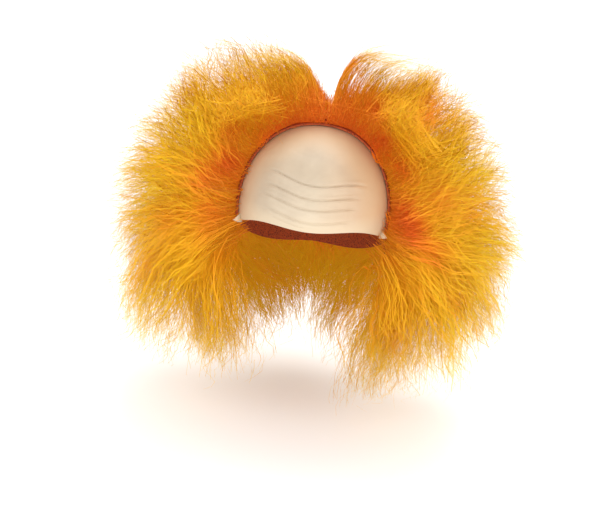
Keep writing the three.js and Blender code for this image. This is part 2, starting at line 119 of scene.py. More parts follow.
# How unevenly the tufts lie in a lock
CLOCK_JITTER = 0.36
DEPTH_JITTER = 16
REACH_JITTER = (0.88, 1.1)
TURN_JITTER = 9
TUFT_WANDER = 3.4
TUFT_PITCH = (34, 62)
STRAND_SWING = (26, 52)
# The length from the root over which each wave grows to the full
WANDER_GROWS = 45
BOW_GROWS = 30
CRIMP_GROWS = 15
# The crimp over a strand is longer than the crimp across it
CRIMP_PITCHES = np.array([1, 1.3])[:, None, None]
STRAND_CLEAR = 5.8

# The planes that part the wefts, in degrees: right from left, top from side, side from back, and top
# from back. They meet above the hair's centre
WEFT_PLANES = (6, 56, 36, 48)
WEFT_RISE = 4
# Triangles in each weft
BUDGET = {"hair_top_left": 118000, "hair_top_right": 134000, "hair_side_left": 180000,
          "hair_side_right": 184000, "hair_back_left": 148000, "hair_back_right": 148000}

# The notch over the parting: how high the hair may stand beside it, for full hair and for loose arcs
CREST = np.array([(-90, 64, 64), (-44, 46, 50), (-30, 40, 46), (-21, 21, 30), (-10, 9, 12), (0, 0, 0),
                  (4, 0, 24), (14, 0, 45), (41, 14, 62), (68, 30, 66), (110, 60, 66)], float)
CREST_ACROSS = 4
CREST_HEIGHT = 33
CREST_FALL = 0.34
CREST_SLOPE = 0.6
FULL_HAIR, LOOSE_ARCS = 1, 2

# How far the hair may pass the box of the solids, and how much of a strand has to lie in the outline
DEPTH_SPARE = 8
BOX_SPARE = 15
SHORTEST_KEPT = 0.3

# How a ribbon narrows to its tip, how far it turns about its strand, and how its shading leans
TAPER_ALONG = [0, 0.6, 1]
TAPER = [1, 1, 0.4]
RIBBON_TURN = 0.5
RIBBON_LEAN = 0.25

# The length of hair that the colour map covers, its margins and the pitch of its crimp
COLOUR_LENGTH = 260
TONE_MARGIN = 0.02
TIP_RANGE = (0.002, 0.995)
CRIMP_PITCH = 4.2
# The parting's red roots: the parting's middle and half its width, how they fade to the sides and the
# back, and how slowly they turn golden
PARTING_MIDDLE, PARTING_HALF = 6, 20
PARTING_SIDE_FADE, PARTING_BACK_FADE = 30, 60
PARTING_SLOWEST = 0.4
# The golden roots beside the temples: where they fade in, and how far along their colours they start
TEMPLE_ASIDE, TEMPLE_ASIDE_FADE = 48, 24
TEMPLE_BELOW, TEMPLE_BELOW_FADE = 30, 40
TEMPLE_START_LEFT, TEMPLE_START_RIGHT = 15, 24
# How far redder hair stays at its root colours
REDDER_LENGTH = 1.3
REDDEST = 0.75
TONE_PATCH = 0.06


def head_level(points, offset):
    """How far out each point lies: 1 on the head grown by the offset, less inside it."""
    rays = points - HEAD_CENTRE
    along = np.where(rays[..., 1] < 0, HEAD_FRONT, HEAD_BACK)
    up = np.where(rays[..., 2] < 0, HEAD_DOWN, HEAD_UP)
    axes = np.stack([np.full_like(up, HEAD_HALF_WIDTH), along, up], -1) + offset
    return (np.abs(rays / axes) ** HEAD_ROUNDNESS).sum(-1) ** (1 / HEAD_ROUNDNESS)


def on_head(points, offset, furthest=np.inf):
    level = np.minimum(head_level(points, offset), furthest)[..., None]
    return (points - HEAD_CENTRE) / level + HEAD_CENTRE


def on_head_along(rays, offset):
    return on_head(HEAD_CENTRE + rays * HEAD_UP, offset)


def clear_of_head(points, offset):
    return on_head(points, offset, furthest=1)


def behind_hairline(points):
    """Keeps hair behind the hairline and off the face, until it stands away from the head."""
    level = head_level(points, CAP_OUTSIDE)
    height = np.linalg.norm(points - HEAD_CENTRE, axis=-1) * (1 - 1 / np.maximum(level, 1))
    edge = np.interp(points[..., 2], FRONT_LINE[:, 0], FRONT_LINE[:, 1])
    moved = points.copy()
    moved[..., 1] = np.maximum(points[..., 1], edge + HAIRLINE_GAP - COME_FORWARD * height)
    return moved


def unit(vectors):
    return vectors / np.maximum(np.linalg.norm(vectors, axis=-1, keepdims=True), 1e-9)


def ray_to(points):
    return unit(points - HEAD_CENTRE)


def outline_reach(clock, sign):
    """How far the outline lies from the hair's centre at each clock angle."""
    left, right = (np.interp(clock, REACH[:, 0], REACH[:, i]) for i in (1, 2))
    return np.where(sign < 0, left, right)


def clock_of(points):
    """Each point's clock angle about the hair's centre, on its own side."""
    offset = points - HAIR_CENTRE
    return np.degrees(np.arctan2(np.abs(offset[..., 0]), offset[..., 2]))


def out_at(sign, clock):
    """The way out from the hair's centre at each clock angle."""
    angle = np.radians(clock)
    return np.stack([sign * np.sin(angle), np.zeros_like(angle), np.cos(angle)], -1)


def falling(radial, clock):
    """The way that hair points at its tip: outwards at the top, more and more downwards at the sides."""
    droop = np.clip((clock - DROOP_FROM) / DROOP_OVER, 0, DROOP_MOST)[:, None]
    return unit(radial * (1 - droop) - UP * droop)


def curves_between(root, leaving, arriving, tip):
    return np.stack([root, root + leaving, tip - arriving, tip], 1)


def lock_curves(sign, clock, depth, share, turn):
    """Each lock's curve, the way it faces and its length."""
    radial = out_at(sign, clock)
    tip = HAIR_CENTRE + radial * (outline_reach(clock, sign) * share)[:, None]
    tip[:, 1] = depth
    root_clock = np.radians(np.minimum(clock, ROOT_BEND + (clock - ROOT_BEND) * ROOT_SPREAD))
    turned = np.radians(turn - TEMPLE_TURN * np.sin(root_clock) ** 2)
    ray = np.stack([sign * np.sin(root_clock) * np.cos(turned), np.sin(turned),
                    np.cos(root_clock) * np.cos(turned)], -1)
    root = on_head_along(ray, ROOT_RISE)
    span = np.linalg.norm(root - tip, axis=-1, keepdims=True)
    curves = curves_between(root, ray * span * HANDLE, falling(radial, clock) * span * HANDLE, tip)
    return curves, unit(ray + LOCK_TILT), span[:, 0]


def along_curves(curves, steps):
    """Points and directions on each curve at its own steps."""
    a, b, c, d = (curves[:, i, None, :] for i in range(4))
    t = steps[..., None]
    points = a * (1 - t) ** 3 + 3 * b * t * (1 - t) ** 2 + 3 * c * t ** 2 * (1 - t) + d * t ** 3
    ahead = 3 * (b - a) * (1 - t) ** 2 + 6 * (c - b) * t * (1 - t) + 3 * (d - c) * t ** 2
    return points, unit(ahead)


def weft_of(points):
    """The weft that each point lies in, by the same parting planes as the solids."""
    lean, top_side, side_back, top_back = (math.tan(math.radians(plane)) for plane in WEFT_PLANES)
    x, y, z = (points - HAIR_CENTRE - UP * WEFT_RISE).T
    right = x - z * lean > 0
    sign = np.where(right, 1, -1)
    behind_top = y - z * top_back > 0
    top = z - sign * x / top_side > 0
    back = y - sign * x * side_back > 0
    lower = np.where(back & (behind_top | ~top), "hair_back", "hair_side")
    place = np.where(top & ~behind_top, "hair_top", lower)
    side = np.where(right, "_right", "_left")
    return np.char.add(place.astype(str), side.astype(str))


def lay_tufts(rng):
    """Guides for all the tufts: jittered copies of the locks, each with its place in the lock."""
    rows = []
    for sign in (-1, 1):
        for layer in LAYERS:
            pitch = (layer["last"] - layer["first"]) / (layer["locks"] - 1)
            for lock in range(layer["locks"]):
                n = layer["tufts"]
                depth, reach = layer["depth"] - LOCK_STAGGER, layer["reach"]
                if lock % 2:
                    depth, reach = layer["depth"] + LOCK_STAGGER, reach * SHORTER_LOCK
                rows.append((
                    np.full(n, sign),
                    layer["first"] + pitch * (lock + rng.uniform(-CLOCK_JITTER, CLOCK_JITTER, n)),
                    depth + rng.uniform(-DEPTH_JITTER, DEPTH_JITTER, n),
                    reach * rng.uniform(*REACH_JITTER, n),
                    layer["turn"] + rng.uniform(-TURN_JITTER, TURN_JITTER, n),
                    np.full(n, float(layer["wide"])),
                    np.sqrt(rng.uniform(0.02, 1, n)),
                ))
    keys = ("sign", "clock", "depth", "share", "turn", "wide", "rim")
    tufts = {key: np.concatenate(parts) for key, parts in zip(keys, zip(*rows))}
    n = len(tufts["sign"])
    tufts["clock"] = np.clip(tufts["clock"], 1, 175)
    tufts["round"] = rng.uniform(0, 2 * np.pi, n)
    tufts["tone"] = rng.uniform(-1, 1, n)
    tufts["wave"] = rng.uniform(0, 2 * np.pi, (n, 4))
    tufts["pitch"] = rng.uniform(*TUFT_PITCH, (n, 2))
    return tufts


def curves_of(tufts, owner=slice(None)):
    return lock_curves(*(tufts[key][owner] for key in ("sign", "clock", "depth", "share", "turn")))


def sway(distance, period, start):
    return np.sin(2 * np.pi * distance / period + start)


def grown(distance, over):
    return np.clip(distance / over, 0, 1)


def strand_paths(kind, tufts, owner, start, end, rng):
    """Points along each strand, and how far from its tuft's root they lie."""
    n = len(owner)
    curves, outward, span = curves_of(tufts, owner)
    share = start[:, None] + (end - start)[:, None] * np.linspace(0, 1, kind["steps"])[None, :]
    points, ahead = along_curves(curves, share)
    across = unit(np.cross(outward[:, None, :], ahead))
    over = np.cross(ahead, across)
    distance = share * span[:, None] * BENT_LENGTH
    # Its tuft's place in the lock, and its own place in the tuft, both across and over
    half = np.minimum(tufts["wide"][owner], span * LOCK_SLIMNESS)[:, None]
    round_lock = np.stack([np.cos(tufts["round"][owner]), np.sin(tufts["round"][owner])])
    section = np.stack([np.interp(share, LOCK_ALONG, size) for size in (LOCK_WIDE, LOCK_THICK)])
    off = (round_lock * tufts["rim"][owner])[..., None] * section * half
    off = off + rng.normal(0, 1, (2, n, 1)) * np.interp(share, [0, 0.5, 1], kind["spread"])
    # Its tuft's waves
    wave, pitch = tufts["wave"][owner].T[:2, :, None], tufts["pitch"][owner].T[..., None]
    off = off + TUFT_WANDER * grown(distance, WANDER_GROWS) * sway(distance, pitch, wave)
    # Its own drift and bow off its tuft's line
    swing = rng.uniform(*STRAND_SWING, (n, 2)).T[..., None]
    phase = rng.uniform(0, 2 * np.pi, (n, 2)).T[..., None]
    drift = (share - start[:, None]) * span[:, None] * kind["drift"]
    off = off + rng.normal(0, 1, (2, n, 1)) * drift
    off = off + kind["bow"] * grown(distance, BOW_GROWS) * sway(distance, swing, phase)
    # Its crimp and its stray bends
    period = rng.uniform(*kind["pitch"], (n, 1)) * CRIMP_PITCHES
    beat = rng.uniform(0, 2 * np.pi, (n, 2)).T[..., None]
    off = off + kind["crimp"] * grown(distance, CRIMP_GROWS) * sway(distance, period, beat)
    points = points + across * off[0][..., None] + over * off[1][..., None]
    points = points + rng.normal(0, kind["stray"], points.shape)
    return behind_hairline(clear_of_head(points, STRAND_CLEAR)), distance


def beyond_outline(points, loose, column):
    """How far each point lies outside the hair's outline, or above the crest beside the parting."""
    offset = points - HAIR_CENTRE
    radius = np.hypot(offset[..., 0], offset[..., 2])
    over = radius - outline_reach(clock_of(points), offset[..., 0]) - loose
    # The parting runs back over the crown: the hair beside it lies lower towards the back
    beside = np.interp(points[..., 0] - CREST_ACROSS, CREST[:, 0], CREST[:, column])
    crest = CREST_HEIGHT - CREST_FALL * np.maximum(points[..., 1], 0) + beside + loose
    front, back = cad_box[0][1] / MM - DEPTH_SPARE, cad_box[1][1] / MM + DEPTH_SPARE
    past = np.maximum(front - points[..., 1], points[..., 1] - back)
    return np.maximum(np.maximum(over, past), CREST_SLOPE * (points[..., 2] - crest))


def trimmed(points, distance, loose, column=FULL_HAIR):
    """Ends each strand where it reaches the outline, and marks those that start well inside it."""
    n, steps, _ = points.shape
    out = beyond_outline(points, loose, column) > 0
    first = np.where(out.any(1), out.argmax(1), steps)
    reach = np.maximum(first - 0.5, 0)[:, None].clip(0, steps - 1)
    place = np.linspace(0, 1, steps)[None, :] * reach
    low = np.minimum(place.astype(int), steps - 2)
    part = place - low
    row = np.arange(n)[:, None]
    points = points[row, low] * (1 - part[..., None]) + points[row, low + 1] * part[..., None]
    distance = distance[row, low] * (1 - part) + distance[row, low + 1] * part
    return points, distance, first > steps * SHORTEST_KEPT


def ribbons(points, distance, tone, width, stripes, rng):
    """Flat ribbons along the strands: corners, faces, places on the colour map and ways they face."""
    n, steps, _ = points.shape
    low, high = (np.array(corner) / MM for corner in cad_box)
    points = np.clip(points, low - BOX_SPARE, high + BOX_SPARE)
    ahead = unit(np.gradient(points, axis=1))
    outward = ray_to(points)
    facing = unit(outward + unit(rng.normal(0, 1, (n, 1, 3))) * RIBBON_TURN)
    side = unit(np.cross(ahead, facing))
    taper = np.interp(np.linspace(0, 1, steps), TAPER_ALONG, TAPER)
    half = (width[:, None] * taper[None, :])[..., None] / 2
    corners = np.stack([points - side * half, points + side * half], 2).reshape(-1, 3) * MM
    lean = unit(outward + RIBBON_LEAN * np.cross(side, ahead))
    lean = np.repeat(lean[:, :, None, :], 2, 2).reshape(-1, 3)
    index = np.arange(n * steps * 2).reshape(n, steps, 2)
    quads = np.stack([index[:, :-1, 0], index[:, :-1, 1], index[:, 1:, 1], index[:, 1:, 0]], -1)
    u, v = colour_place(points, distance, tone[:, None], stripes)
    spot = np.stack([np.stack([u - stripes, u + stripes], -1), np.repeat(v[..., None], 2, -1)], -1)
    return corners, quads.reshape(-1, 4), spot.reshape(-1, 2), lean


# Patches of redder hair: across, height, radius and how much redder. They fade towards the back
PATCHES = [
    (95, -68, 18, 0.55), (108, -81, 12, 0.40), (64, 0, 15, 0.45), (52, 32, 13, 0.35),
    (106, 38, 12, 0.35), (129, -44, 13, 0.30), (85, -22, 12, 0.35), (129, -96, 13, 0.35),
    (-92, -36, 15, 0.50), (-115, -50, 13, 0.35), (-102, -83, 15, 0.30), (-91, -4, 12, 0.30),
    (159, -56, 16, 0.18), (99, -204, 14, 0.25), (-165, -147, 18, 0.20), (16, 69, 14, 0.20),
    (156, -151, 14, 0.22), (-148, -100, 12, 0.20),
]
PATCH_BACK = 90
PATCH_FADE = 60


def redness_at(points):
    redness = np.zeros(points.shape[:-1])
    for across, height, radius, redder in PATCHES:
        away = (points[..., 0] - across) ** 2 + (points[..., 2] - height) ** 2
        redness += redder * np.exp(-away / radius ** 2)
    return redness * grown(PATCH_BACK - points[..., 1], PATCH_FADE)


def tone_at(points):
    """Broad patches of lighter and darker hair."""
    x, y, z = (points[..., i] for i in range(3))
    return TONE_PATCH * np.sin(x / 23 + z / 41 + 1.3) * np.sin(z / 19 - x / 47 + y / 31)


def strand_length(points, distance):
    """Distance from the root for the colour: the parting's roots stay red for longer."""
    aside = (np.abs(points[..., 0] - PARTING_MIDDLE) - PARTING_HALF) / PARTING_SIDE_FADE
    behind = (points[..., 1] - PARTING_HALF) / PARTING_BACK_FADE
    away = np.clip(np.maximum(aside, behind), 0, 1)
    return distance * (PARTING_SLOWEST + (1 - PARTING_SLOWEST) * away)


def golden_roots(points):
    """How much further along its colours the hair starts beside the temples."""
    aside = grown(np.abs(points[..., 0]) - TEMPLE_ASIDE, TEMPLE_ASIDE_FADE)
    below = grown(TEMPLE_BELOW - points[..., 2], TEMPLE_BELOW_FADE)
    return aside * below * np.where(points[..., 0] > 0, TEMPLE_START_RIGHT, TEMPLE_START_LEFT)


def colour_place(points, distance, tone, stripes):
    """Place on the colour map: across it from deep to bright, and up it from root to tip."""
    redness = redness_at(points)
    margin = TONE_MARGIN + stripes
    u = np.clip(tone + tone_at(points) - redness, margin, 1 - margin)
    length = strand_length(points, distance) + golden_roots(points)
    shorter = 1 - np.minimum(REDDER_LENGTH * redness, REDDEST)
    return u, np.clip(length * shorter / COLOUR_LENGTH, *TIP_RANGE)


def joined_mesh(name, parts):
    """One mesh from several sets of ribbons."""
    corners, quads, spots, leans = zip(*parts)
    starts = np.cumsum([0] + [len(part) for part in corners[:-1]])
    quads = np.concatenate([part + start for part, start in zip(quads, starts)])
    corners, spots, leans = (np.concatenate(part) for part in (corners, spots, leans))
    mesh = bpy.data.meshes.new(name)
    mesh.vertices.add(len(corners))
    mesh.vertices.foreach_set("co", corners.ravel())
    mesh.loops.add(quads.size)
    mesh.loops.foreach_set("vertex_index", quads.ravel())
    mesh.polygons.add(len(quads))
    mesh.polygons.foreach_set("loop_start", np.arange(0, quads.size, 4))
    mesh.polygons.foreach_set("loop_total", np.full(len(quads), 4))
    mesh.polygons.foreach_set("use_smooth", np.ones(len(quads), bool))
    layer = mesh.uv_layers.new(name="OFBake")
    layer.data.foreach_set("uv", spots[quads.ravel()].ravel())
    mesh.update()
    mesh.validate()
    mesh.normals_split_custom_set_from_vertices(leans)
    return mesh


# Strands in no tuft: steps, crimp and stray bends, and how far off the head they and their roots keep
SHORT_STEPS, CROWN_STEPS = 14, 10
SHORT_PITCH = (7, 13)
SHORT_CRIMP, SHORT_GROWS, SHORT_STRAY = 0.8, 18, 0.3
SHORT_CLEAR, SHORT_ROOT = 4.4, 4.6
ONE_TURN = 6.28
# Those along the hairline: where on it, how far behind it, their reach and depth, and the clock angle
# beyond which they hang lower
EDGE_SHARE = (0.08, 1)
EDGE_BEHIND = (1, 13)
EDGE_REACH = (0.62, 0.99)
EDGE_DEPTH = (-46, 6)
EDGE_LOWER_FROM = 70
EDGE_HANDLE = 0.34
# Those that stand up in the parting
PARTING_SHARE = (0, 0.36)
PARTING_BEHIND = (0.5, 16)
PARTING_TALL = (26, 44)
PARTING_ASIDE = (0, 10)
# Those that arch over: how far behind the hairline, the arch's height on each side, and the tips
ARC_BEHIND = (3, 30)
ARC_PEAK = {-1: 88, 1: 108}
ARC_RISE = 66
ARC_DEPTH = (-6, 40)
ARC_TIP_ASIDE = (80, 150)
ARC_TIP_DEPTH = (-20, 50)
ARC_TIP_HEIGHT = (30, 80)
ARC_COLOUR_PACE = 2.4
# Those down the back, by the angle from the top: its range, how far aside, their length and droop
CROWN_DOWN = (8, 124)
CROWN_ASIDE = (-3, 28)
CROWN_LENGTHS = ([8, 50, 90, 124], [36, 62, 100, 104])
CROWN_DROOP = ([55, 95, 124], [0, 0.4, 0.92])


def hairline_roots(side, share, back):
    """Roots just behind the hairline: share 0 is the middle of the crown, 1 the temple."""
    ticks = np.arange(len(HAIRLINE_POINTS))
    roots = np.stack([np.interp(share * ticks[-1], ticks, HAIRLINE_POINTS[:, i]) for i in range(3)], -1)
    roots[:, 0] *= side
    roots[:, 1] += back
    return on_head(roots, SHORT_ROOT)


def finish_short(curves, length, rng, steps=SHORT_STEPS):
    """Fine strands on their own curves, with a little crimp."""
    count = len(curves)
    t = np.linspace(0, 1, steps)[None, :] * length[:, None]
    points, ahead = along_curves(curves, t)
    span = np.linalg.norm(curves[:, 3] - curves[:, 0], axis=-1, keepdims=True)
    distance = t * span
    across = unit(np.cross(ray_to(curves[:, 0])[:, None, :], ahead + 1e-4))
    period, beat = rng.uniform(*SHORT_PITCH, (count, 1)), rng.uniform(0, ONE_TURN, (count, 1))
    bend = SHORT_CRIMP * np.sin(ONE_TURN * distance / period + beat) * grown(distance, SHORT_GROWS)
    points = points + across * bend[..., None] + rng.normal(0, SHORT_STRAY, points.shape)
    return behind_hairline(clear_of_head(points, SHORT_CLEAR)), distance


def edge_strands(side, count, rng):
    """Strands that leave the head all along the hairline and join the mass."""
    roots = hairline_roots(side, rng.uniform(*EDGE_SHARE, count), rng.uniform(*EDGE_BEHIND, count))
    ray = ray_to(roots)
    clock = clock_of(roots) + rng.normal(0, 5, count)
    clock = np.abs(clock) + np.clip((clock - EDGE_LOWER_FROM) * 0.5, 0, 40)
    radial = out_at(side, clock)
    tip = HAIR_CENTRE + radial * (outline_reach(clock, side) * rng.uniform(*EDGE_REACH, count))[:, None]
    tip[:, 1] = rng.uniform(*EDGE_DEPTH, count) * np.clip(clock / 40, 0.1, 1)
    span = np.linalg.norm(tip - roots, axis=-1, keepdims=True)
    leaving, arriving = ray * span * EDGE_HANDLE, falling(radial, clock) * span * EDGE_HANDLE
    return finish_short(curves_between(roots, leaving, arriving, tip), rng.uniform(0.7, 1, count), rng)


def parting_strands(side, count, rng):
    """Red roots that stand straight up behind the top of the hairline."""
    roots = hairline_roots(side, rng.uniform(*PARTING_SHARE, count), rng.uniform(*PARTING_BEHIND, count))
    lean = rng.normal(0, 0.1, count) + 0.012 * roots[:, 0]
    up = unit(np.stack([lean, rng.uniform(-0.12, 0.1, count), np.ones(count)], -1))
    tall = (rng.uniform(*PARTING_TALL, count) + 0.25 * np.abs(roots[:, 0]))[:, None]
    tip = roots + up * tall
    tip[:, 0] += side * rng.uniform(*PARTING_ASIDE, count)
    curves = curves_between(roots, up * tall * 0.4, up * tall * 0.3, tip)
    return finish_short(curves, rng.uniform(0.75, 1, count), rng)


def arc_strands(side, count, rng):
    """Long fine strands that rise beside the parting and arch over to the side, most in one band."""
    outer = rng.uniform(0, 1, count) ** 2
    roots = hairline_roots(side, 0.03 + 0.26 * outer, rng.uniform(*ARC_BEHIND, count))
    top = np.stack([side * (30 + 40 * outer), rng.uniform(*ARC_DEPTH, count),
                    ARC_PEAK[side] - 30 * outer + rng.normal(0, 2.5, count)], -1)
    tip = np.stack([side * rng.uniform(*ARC_TIP_ASIDE, count), rng.uniform(*ARC_TIP_DEPTH, count),
                    rng.uniform(*ARC_TIP_HEIGHT, count)], -1)
    rise = roots.copy()
    rise[:, 0] += side * (2 + 8 * outer)
    rise[:, 2] += ARC_RISE - 20 * outer + rng.normal(0, 4, count)
    curves = np.stack([roots, rise, top, tip], 1)
    points, distance = finish_short(curves, rng.uniform(0.5, 1, count), rng)
    return points, distance * ARC_COLOUR_PACE


def crown_strands(side, count, rng):
    """Shorter strands all along the parting, from the crown down the back to the nape."""
    down = rng.uniform(*CROWN_DOWN, count)
    turn, aside = np.radians(down), np.radians(rng.uniform(*CROWN_ASIDE, count))
    ray = np.stack([side * np.sin(aside), np.cos(aside) * np.sin(turn),
                    np.cos(aside) * np.cos(turn)], -1)
    roots = on_head_along(ray, SHORT_ROOT)
    out = unit(ray + rng.normal(0, 0.16, (count, 3)) + np.array([side * 0.16, 0, 0.05]))
    long = (np.interp(down, *CROWN_LENGTHS) * rng.uniform(0.7, 1.15, count))[:, None]
    droop = np.interp(down, *CROWN_DROOP)[:, None]
    ending = unit(out * (1 - droop) + np.array([0, 0.1, -1]) * droop)
    tip = roots + out * long * (0.72 - 0.3 * droop) + ending * long * HANDLE
    curves = curves_between(roots, out * long * HANDLE, ending * long * HANDLE, tip)
    return finish_short(curves, rng.uniform(0.8, 1, count), rng, CROWN_STEPS)


# Strands in no tuft, on each side: count, tone and how it varies, width, how far past the outline they
# may end, and the notch that they leave over the parting
SHORT_KINDS = [
    dict(make=edge_strands, count=2600, tone=0.56, vary=0.16, width=(0.32, 0.6)),
    dict(make=parting_strands, count=1100, tone=0.58, vary=0.1, width=(0.5, 0.9)),
    dict(make=crown_strands, count=2200, tone=0.46, vary=0.06, width=(0.5, 0.9),
         outline=(-8, 4), notch=FULL_HAIR),
    dict(make=arc_strands, count=360, tone=0.64, vary=0.08, width=(0.35, 0.6),
         outline=(-4, 14), notch=LOOSE_ARCS),
]

# Kinds of strand in a weft: share of its faces, steps, spread in its tuft; crimp and its pitch, stray
# bends, drift and bow off the tuft's line; width, tone and how it varies, half its breadth on the
# colour map, and how far past the outline it may end
FINE, BROAD = 0.004, 0.01
# Tone rises from the under strands, deepest in the mass, to the stray ones at its surface: painted shade
# in the depth
KINDS = [
    dict(name="under", share=0.08, steps=9, spread=(4, 8, 7),
         crimp=0.4, pitch=(20, 30), stray=0.4, drift=0.02, bow=0,
         width=(0.9, 1.4), tone=0.42, vary=0.03, stripes=BROAD, outline=(-26, -8)),
    dict(name="bulk", share=0.36, steps=9, spread=(5, 10, 9),
         crimp=0.5, pitch=(12, 20), stray=0.5, drift=0.03, bow=2.2,
         width=(0.38, 0.68), tone=0.52, vary=0.05, stripes=FINE, outline=(-17, 6)),
    dict(name="frizz", share=0.46, steps=12, spread=(5, 10.5, 10),
         crimp=0.8, pitch=(6, 9), stray=0.3, drift=0.07, bow=3.4,
         width=(0.3, 0.54), tone=0.58, vary=0.07, stripes=FINE, outline=(-15, 9)),
    dict(name="stray", share=0.10, steps=10, spread=(7, 11, 12),
         crimp=0.9, pitch=(9, 16), stray=0.4, drift=0.08, bow=4.2,
         width=(0.26, 0.42), tone=0.62, vary=0.08, stripes=FINE, outline=(-12, 22)),
]
# Where strands start and end, as shares of their tuft. Frizz is short and lies anywhere in it
SPARE_STRANDS = 1.45
LONGEST, UNEVEN_TIPS = 1.04, 0.22
FRIZZ_START, FRIZZ_LENGTH = (0.03, 0.9), (30, 52)
STRAY_START, STRAY_END = (0.3, 0.8), (0.95, 1.1)
OWN_RAGGEDNESS = 0.35

# A tuft's middle, how much painted light makes the upper tufts of a lock lighter and how much painted
# shade makes its flanks darker, and how many more strands the upper and the low-hanging ones get
TUFT_MIDDLE = 0.62
PAINTED_UPPER_LIGHT, PAINTED_FLANK_SHADE, OWN_TONE = 0.14, 0.09, 0.15
UPPER_FULL, LOWER_FULL = 1.1, 0.6
LOWER_FROM, LOWER_FADE = 100, 40
SEED = 472


def strands_of_kind(kind, tufts, mine, triangles, rng):
    """Ribbons of one kind of strand, on the tufts of one weft."""
    wanted = int(triangles * kind["share"] / (2 * (kind["steps"] - 1)))
    count = int(wanted * SPARE_STRANDS)
    chance = tufts["weight"][mine]
    owner = rng.choice(mine, count, p=chance / chance.sum())
    if kind["name"] == "frizz":
        start = rng.uniform(*FRIZZ_START, count)
        end = np.minimum(start + rng.uniform(*FRIZZ_LENGTH, count) / tufts["span"][owner], LONGEST)
    elif kind["name"] == "stray":
        start = rng.uniform(*STRAY_START, count)
        end = rng.uniform(*STRAY_END, count)
    else:
        start = np.zeros(count)
        end = LONGEST - UNEVEN_TIPS * rng.uniform(0, 1, count) ** 2
    points, distance = strand_paths(kind, tufts, owner, start, end, rng)
    # The strands of a tuft end near each other, so the hair's outline breaks into ragged points
    shared = (1 + tufts["tone"][owner]) / 2
    raggedness = OWN_RAGGEDNESS * rng.uniform(0, 1, count) + (1 - OWN_RAGGEDNESS) * shared
    loose = np.interp(raggedness, [0, 1], kind["outline"])[:, None]
    points, distance, keep = trimmed(points, distance, loose)
    keep = np.flatnonzero(keep)[:wanted]
    # The tuft's painted light and shade, and its own tone, join the kind's tone
    tone = kind["tone"] + tufts["lift"][owner] + rng.normal(0, kind["vary"], count)
    width = rng.uniform(*kind["width"], count)
    return ribbons(points[keep], distance[keep], tone[keep], width[keep], kind["stripes"], rng)


def short_strands(rng):
    """Ribbons of the strands in no tuft, sorted into the wefts where they end."""
    parts = {name: [] for name in BUDGET}
    for side, word in ((-1, "_left"), (1, "_right")):
        for kind in SHORT_KINDS:
            points, distance = kind["make"](side, kind["count"], rng)
            if "outline" in kind:
                loose = rng.uniform(*kind["outline"], (kind["count"], 1))
                points, distance, keep = trimmed(points, distance, loose, kind["notch"])
                points, distance = points[keep], distance[keep]
            home = weft_of(points[:, -1] * np.array([1, 0.5, 1]))
            for name in BUDGET:
                mine = home == name
                if name.endswith(word) and mine.any():
                    tone = kind["tone"] + rng.normal(0, kind["vary"], mine.sum())
                    width = rng.uniform(*kind["width"], mine.sum())
                    strands = ribbons(points[mine], distance[mine], tone, width, FINE, rng)
                    parts[name].append(strands)
    return parts


def measure_tufts(tufts):
    """Adds each tuft's weft, its length, how light it is painted (painted light on the upper tufts,
    painted shade on the flanks, and its own tone) and how many strands it gets.
    """
    curves, _, tufts["span"] = curves_of(tufts)
    middles, _ = along_curves(curves, np.full((len(curves), 1), TUFT_MIDDLE))
    tufts["weft"] = weft_of(middles[:, 0])
    upper = np.sin(tufts["round"]) * tufts["rim"]
    flank = np.abs(np.cos(tufts["round"])) * tufts["rim"]
    # Painted light on the upper tufts of a lock, painted shade on its flanks, and each tuft's own tone
    tufts["lift"] = PAINTED_UPPER_LIGHT * upper - PAINTED_FLANK_SHADE * flank + OWN_TONE * tufts["tone"]
    size = tufts["span"] * np.sqrt(np.minimum(tufts["wide"], tufts["span"] * LOCK_SLIMNESS))
    lower = 1 + LOWER_FULL * grown(tufts["clock"] - LOWER_FROM, LOWER_FADE)
    tufts["weight"] = size * np.exp(UPPER_FULL * upper) * lower


def put_in_scene(obj):
    bpy.context.scene.collection.objects.link(obj)


def grow_hair(material):
    rng = np.random.default_rng(SEED)
    tufts = lay_tufts(rng)
    measure_tufts(tufts)
    short = short_strands(rng)
    for name, triangles in BUDGET.items():
        mine = np.flatnonzero(tufts["weft"] == name)
        triangles = triangles - sum(2 * len(quads) for _, quads, _, _ in short[name])
        parts = short[name] + [strands_of_kind(kind, tufts, mine, triangles, rng) for kind in KINDS]
        mesh = joined_mesh(name + "_strands", parts)
        mesh.materials.append(material)
        piece = bpy.data.objects.new(name + "_strands", mesh)
        put_in_scene(piece)
        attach(piece, "root")
        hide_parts(name)


def new_material(name, roughness):
    material = bpy.data.materials.new(name)
    material.use_nodes = True
    tree = material.node_tree
    tree.nodes.clear()
    output = tree.nodes.new("ShaderNodeOutputMaterial")
    shader = tree.nodes.new("ShaderNodeBsdfPrincipled")
    shader.inputs["Roughness"].default_value = roughness
    tree.links.new(shader.outputs["BSDF"], output.inputs["Surface"])
    return material, tree, shader


def fill_socket(tree, socket, value):
    """Gives a socket a number, a colour or the output of another node."""
    if isinstance(value, (int, float)):
        socket.default_value = value
    elif isinstance(value, tuple):
        socket.default_value = (*value, 1)
    else:
        tree.links.new(value, socket)


def sum_of(tree, operation, *values):
    node = tree.nodes.new("ShaderNodeMath")
    node.operation = operation
    for socket, value in zip(node.inputs, values):
        fill_socket(tree, socket, value)
    return node.outputs[0]


def held_between(tree, value, low, high):
    return sum_of(tree, "MINIMUM", sum_of(tree, "MAXIMUM", value, low), high)


def blend_of(tree, kind, share, first, second):
    node = tree.nodes.new("ShaderNodeMix")
    node.data_type = "RGBA"
    node.blend_type = kind
    for socket, value in (("Factor", share), (6, first), (7, second)):
        fill_socket(tree, node.inputs[socket], value)
    return node.outputs[2]


